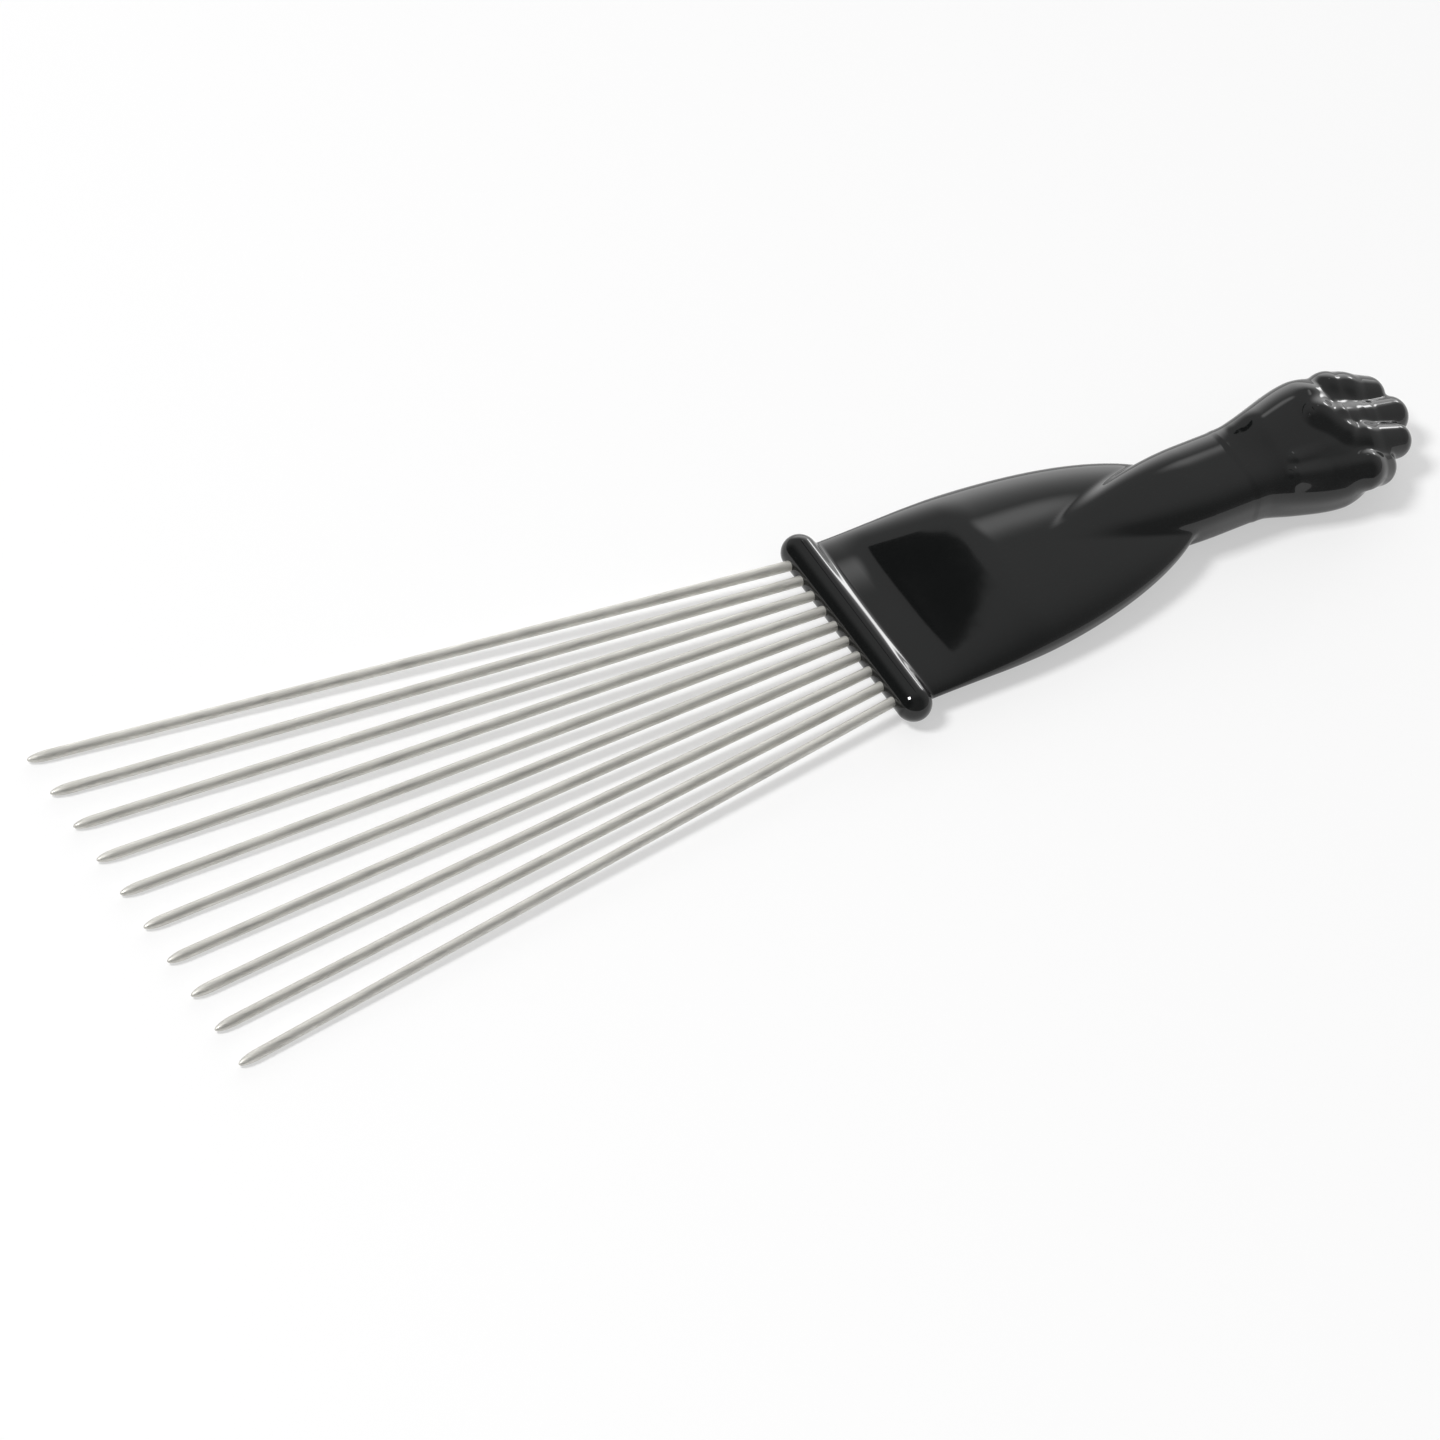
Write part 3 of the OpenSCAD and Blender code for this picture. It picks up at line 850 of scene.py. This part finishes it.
# Parts of the studio's walls: azimuth and elevation of the middle, and the angles from it between which
# the part fades out, in degrees
FAR_WALL = (52.0, 2.0, 15.0, 40.0)
STRIP_LAMP = (30.0, 13.0, 1.5, 6.0)
SOFT_LAMP = (50.0, 43.5, 0.5, 5.0)
TIPS_END = (172.0, 22.0, 25.0, 60.0)
NEAR_SIDE = (258.0, 42.0, 30.0, 75.0)
# Share of the light that the walls keep beyond the tips and on the near side
TIPS_END_SHARE, NEAR_SIDE_SHARE = 0.1, 0.4


def wall_glow(tree, direction, part, middle, rest):
    """A value over the studio's walls that fades from middle, at the middle of a part, to rest outside it."""
    azimuth, elevation, near, far = part
    dot = node(tree, "ShaderNodeVectorMath", operation="DOT_PRODUCT")
    link(tree, direction, dot.inputs[0])
    dot.inputs[1].default_value = aim(azimuth, elevation)
    angle = node(tree, "ShaderNodeMath", operation="ARCCOSINE")
    link(tree, dot.outputs["Value"], angle.inputs[0])
    glow = node(tree, "ShaderNodeMapRange", interpolation_type="SMOOTHSTEP")
    for name, value in (
        ("From Min", math.radians(near)),
        ("From Max", math.radians(far)),
        ("To Min", middle),
        ("To Max", rest),
    ):
        glow.inputs[name].default_value = value
    link(tree, angle.outputs[0], glow.inputs["Value"])
    return glow.outputs["Result"]


def studio_world(studio):
    """Pale walls: bright with two small lamps beyond the pick, dark beyond the tips, dimmer nearby."""
    world = bpy.data.worlds.new("studio")
    world.use_nodes = True
    tree = world.node_tree
    direction = node(tree, "ShaderNodeTexCoord").outputs["Generated"]
    light = wall_glow(tree, direction, FAR_WALL, studio.far_wall, studio.surround)
    for operation, part, middle, rest in (
        ("ADD", STRIP_LAMP, studio.strip, 0.0),
        ("ADD", SOFT_LAMP, studio.soft_lamp, 0.0),
        ("MULTIPLY", TIPS_END, TIPS_END_SHARE, 1.0),
        ("MULTIPLY", NEAR_SIDE, NEAR_SIDE_SHARE, 1.0),
    ):
        joined = node(tree, "ShaderNodeMath", operation=operation)
        link(tree, light, joined.inputs[0])
        link(tree, wall_glow(tree, direction, part, middle, rest), joined.inputs[1])
        light = joined.outputs[0]
    background = tree.nodes["Background"]
    background.inputs["Color"].default_value = (1.0, 1.0, 1.0, 1.0)
    link(tree, light, background.inputs["Strength"])
    return world


# Height and corners in millimetres of a strip of dark card overhead, which the swell of the paddle mirrors
CARD_HEIGHT = 250.0
CARD_CORNERS = (
    (89.0, 60.0),
    (92.0, 95.0),
    (104.0, 150.0),
    (125.0, 238.0),
    (117.0, 238.0),
    (90.0, 175.0),
    (83.0, 130.0),
    (83.0, 92.0),
)
CARD_TONE = 0.02
# Half the width of the floor, in metres
FLOOR_REACH = 6.0
# Direction of the lamp overhead in degrees, and its distance and size in metres
LAMP_AZIMUTH, LAMP_ELEVATION = 162.0, 56.0
LAMP_DISTANCE, LAMP_SIZE = 2.5, 0.6
# Shifts of the camera in millimetres: to its right, upwards in its view, and along the handle
CAMERA_RIGHT, CAMERA_UP, CAMERA_ALONG = -18.667, -13.539, -3.5


class PICK_OT_studio(bpy.types.Operator):
    """Builds the floor, the studio light and the camera"""

    bl_idname = "pick.studio"
    bl_label = "Studio"

    def execute(self, context):
        scene = context.scene
        studio = scene.pick_studio
        # The pick lies on the back of the fist and on the tips of the tines
        low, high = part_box("handle")
        fist = Vector((scene.pick_handle.hand_x, 0.0, low.z))
        tips = Vector((CAD_BOX[0].x + scene.pick_tines.taper, 0.0, -scene.pick_tines.wire / 2.0))
        slope = (fist.z - tips.z) / (fist.x - tips.x)
        ends = [(a * FLOOR_REACH, b * FLOOR_REACH) for a, b in ((-1, -1), (1, -1), (1, 1), (-1, 1))]
        corners = [(x, y, fist.z + (x - fist.x) * slope) for x, y in ends]
        flat_piece("floor", corners, floor_material(studio))
        card = [(x * MM, y * MM, CARD_HEIGHT * MM) for x, y in CARD_CORNERS]
        hung = flat_piece("dark_card", card, card_material("dark_card", CARD_TONE))
        # Only reflections see the card, so it hangs in no view and shades nothing
        hung.visible_camera = hung.visible_diffuse = hung.visible_shadow = False
        scene.world = studio_world(studio)
        overhead = aim(LAMP_AZIMUTH, LAMP_ELEVATION, LAMP_DISTANCE)
        lamp("top_lamp", overhead, (0.0, 0.0, 0.0), LAMP_SIZE, studio.lamp)
        camera_data = bpy.data.cameras.new("camera")
        camera_data.lens = studio.camera_lens
        camera_data.sensor_width = 36.0
        camera_data.clip_start = 0.01
        camera_data.clip_end = 50.0
        camera = bpy.data.objects.new("camera", camera_data)
        back = aim(math.degrees(studio.camera_azimuth), math.degrees(studio.camera_elevation))
        level = Vector((0.0, 0.0, 1.0)).cross(back).normalized()
        right = Matrix.Rotation(studio.camera_roll, 3, back) @ level
        up = back.cross(right)
        place = back * studio.camera_distance + (right * CAMERA_RIGHT + up * CAMERA_UP) * MM
        place.x += CAMERA_ALONG * MM
        facing = Matrix((right, up, back)).transposed().to_4x4()
        camera.matrix_world = Matrix.Translation(place) @ facing
        scene.collection.objects.link(camera)
        scene.camera = camera
        scene.view_settings.view_transform = "Standard"
        return {"FINISHED"}


class PICK_PT_panel(bpy.types.Panel):
    """Lists the pieces of the pick and its studio"""

    bl_label = "Hair pick"
    bl_idname = "PICK_PT_panel"
    bl_space_type = "VIEW_3D"
    bl_region_type = "UI"
    bl_category = "Hair pick"

    def draw(self, context):
        scene = context.scene
        for title, group, operator in (
            ("Handle", scene.pick_handle, PICK_OT_handle.bl_idname),
            ("Tines", scene.pick_tines, PICK_OT_tines.bl_idname),
            ("Finishes", scene.pick_finishes, None),
            ("Studio", scene.pick_studio, PICK_OT_studio.bl_idname),
        ):
            box = self.layout.box()
            box.label(text=title)
            for name in group.bl_rna.properties.keys():
                if name not in ("rna_type", "name"):
                    box.prop(group, name)
            if operator:
                box.operator(operator)


GROUPS = {
    "pick_tines": PickTineSizes,
    "pick_handle": PickHandleSizes,
    "pick_finishes": PickFinishes,
    "pick_studio": PickStudio,
}
CLASSES = (*GROUPS.values(), PICK_OT_handle, PICK_OT_tines, PICK_OT_studio, PICK_PT_panel)


def register():
    """Adds the sizes, the operators and the panel."""
    for made in CLASSES:
        bpy.utils.register_class(made)
    for name, group in GROUPS.items():
        setattr(bpy.types.Scene, name, bpy.props.PointerProperty(type=group))


def unregister():
    """Takes away the sizes, the operators and the panel."""
    for name in GROUPS:
        delattr(bpy.types.Scene, name)
    for made in reversed(CLASSES):
        bpy.utils.unregister_class(made)


def main():
    """Builds the pick and its studio."""
    register()
    bpy.ops.pick.handle()
    bpy.ops.pick.tines()
    bpy.ops.pick.studio()


if __name__ == "__main__":
    main()
